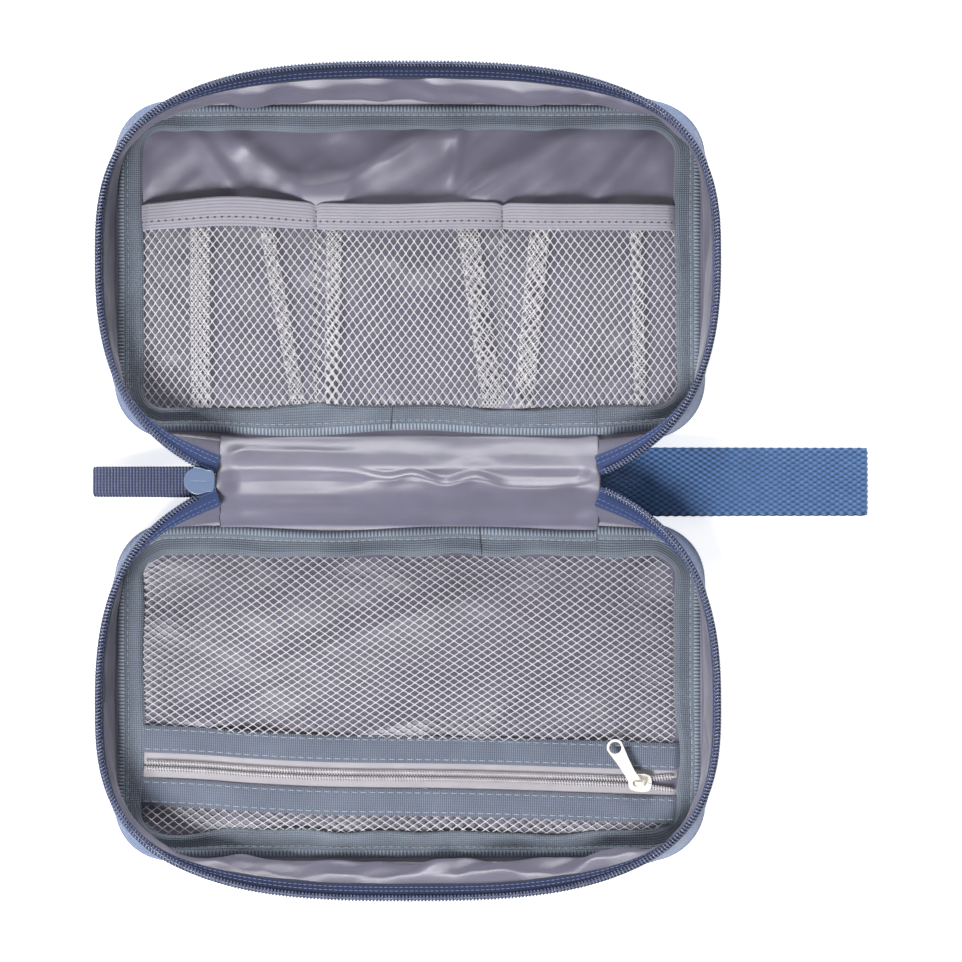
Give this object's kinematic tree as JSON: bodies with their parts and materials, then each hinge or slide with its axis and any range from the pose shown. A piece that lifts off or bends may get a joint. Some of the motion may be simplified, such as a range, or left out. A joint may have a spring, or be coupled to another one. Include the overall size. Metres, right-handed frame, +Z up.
{
  "type": "travel pill organizer",
  "caption": "Soft zip-around travel case lying open like a book, with net pockets, a zipped net pocket, a webbing handle and a ribbon pull.",
  "frame": {"origin": "middle of the bounding box at table level, with the case lying open", "axes": "+Y across both halves, from the half with the zipped pocket to the half with the open net pockets, +X along the spine towards the webbing handle, +Z up out of the trays"},
  "size_m": [0.2973, 0.3116, 0.0269],
  "materials": {
    "outer_fabric": "matte woven polyester",
    "foam": "soft foam sheet",
    "lining": "satin-faced woven lining",
    "binding": "ribbed woven tape",
    "zip_tape": "woven zip tape",
    "zip_coil": "moulded coil, slight sheen",
    "net": "knitted diamond net",
    "band": "grosgrain tape",
    "elastic": "ribbed elastic",
    "pocket_zip_tape": "fine woven zip tape",
    "pocket_zip_coil": "moulded coil",
    "pocket_slider": "enamelled die casting",
    "pocket_pull": "enamelled die casting",
    "main_slider": "semi-gloss paint",
    "ribbon": "grosgrain ribbon",
    "webbing": "basket-weave webbing"
  },
  "bodies": {
    "lower_case": {"lower_outer_panel": "outer_fabric", "lower_foam_pad": "foam", "lower_lining_panel": "lining", "lower_outer_gusset": "outer_fabric", "lower_lining_gusset": "lining", "lower_binding": "binding", "lower_zip_tape": "zip_tape", "lower_zip_coil": "zip_coil", "lower_spine_outer": "outer_fabric", "lower_spine_lining": "lining", "zip_pocket_net": "net", "zip_pocket_net_strip": "net", "zip_pocket_band_near": "band", "zip_pocket_band_far": "band", "zip_pocket_tape_near": "pocket_zip_tape", "zip_pocket_tape_far": "pocket_zip_tape", "zip_pocket_coil_near": "pocket_zip_coil", "zip_pocket_coil_far": "pocket_zip_coil", "spine_ridge": "outer_fabric", "zip_chain_end": "zip_coil", "handle_root": "webbing"},
    "upper_case": {"upper_outer_panel": "outer_fabric", "upper_foam_pad": "foam", "upper_lining_panel": "lining", "upper_outer_gusset": "outer_fabric", "upper_lining_gusset": "lining", "upper_binding": "binding", "upper_zip_tape": "zip_tape", "upper_zip_coil": "zip_coil", "upper_spine_outer": "outer_fabric", "upper_spine_lining": "lining", "net_pocket_left": "net", "net_pocket_middle": "net", "net_pocket_right": "net", "net_pocket_elastic": "elastic"},
    "pocket_slider": {"pocket_slider_body": "pocket_slider"},
    "pocket_pull": {"pocket_pull_tab": "pocket_pull"},
    "main_slider": {"main_slider_body": "main_slider"},
    "main_pull": {"main_pull_link": "main_slider", "main_pull_ribbon": "ribbon"},
    "handle": {"handle_loop": "webbing"}
  },
  "joints": [
    {"name": "case_fold", "type": "hinge", "parent": "lower_case", "child": "upper_case", "pos_m": [-0.0274, 0, 0.026], "axis": [1, 0, 0], "range_deg": [0, 180]},
    {"name": "pocket_slider_travel", "type": "slide", "parent": "lower_case", "child": "pocket_slider", "axis": [0.9994, -0.0349, 0], "range_m": [-0.179, 0]},
    {"name": "pocket_pull_flip", "type": "hinge", "parent": "pocket_slider", "child": "pocket_pull", "pos_m": [0.06055, -0.11487, 0.01095], "axis": [0.0349, 0.9994, 0], "range_deg": [0, 170]},
    {"name": "main_slider_travel", "type": "slide", "parent": "lower_case", "child": "main_slider", "axis": [-1, 0, 0], "range_m": [0, 0.01]},
    {"name": "main_pull_swing", "type": "hinge", "parent": "main_slider", "child": "main_pull", "pos_m": [-0.1046, 0, 0.0217], "axis": [0, 1, 0], "range_deg": [-60, 20]},
    {"name": "handle_lift", "type": "hinge", "parent": "lower_case", "child": "handle", "pos_m": [0.0666, 0, 0.008], "axis": [0, -1, 0], "range_deg": [0, 60]}
  ]
}
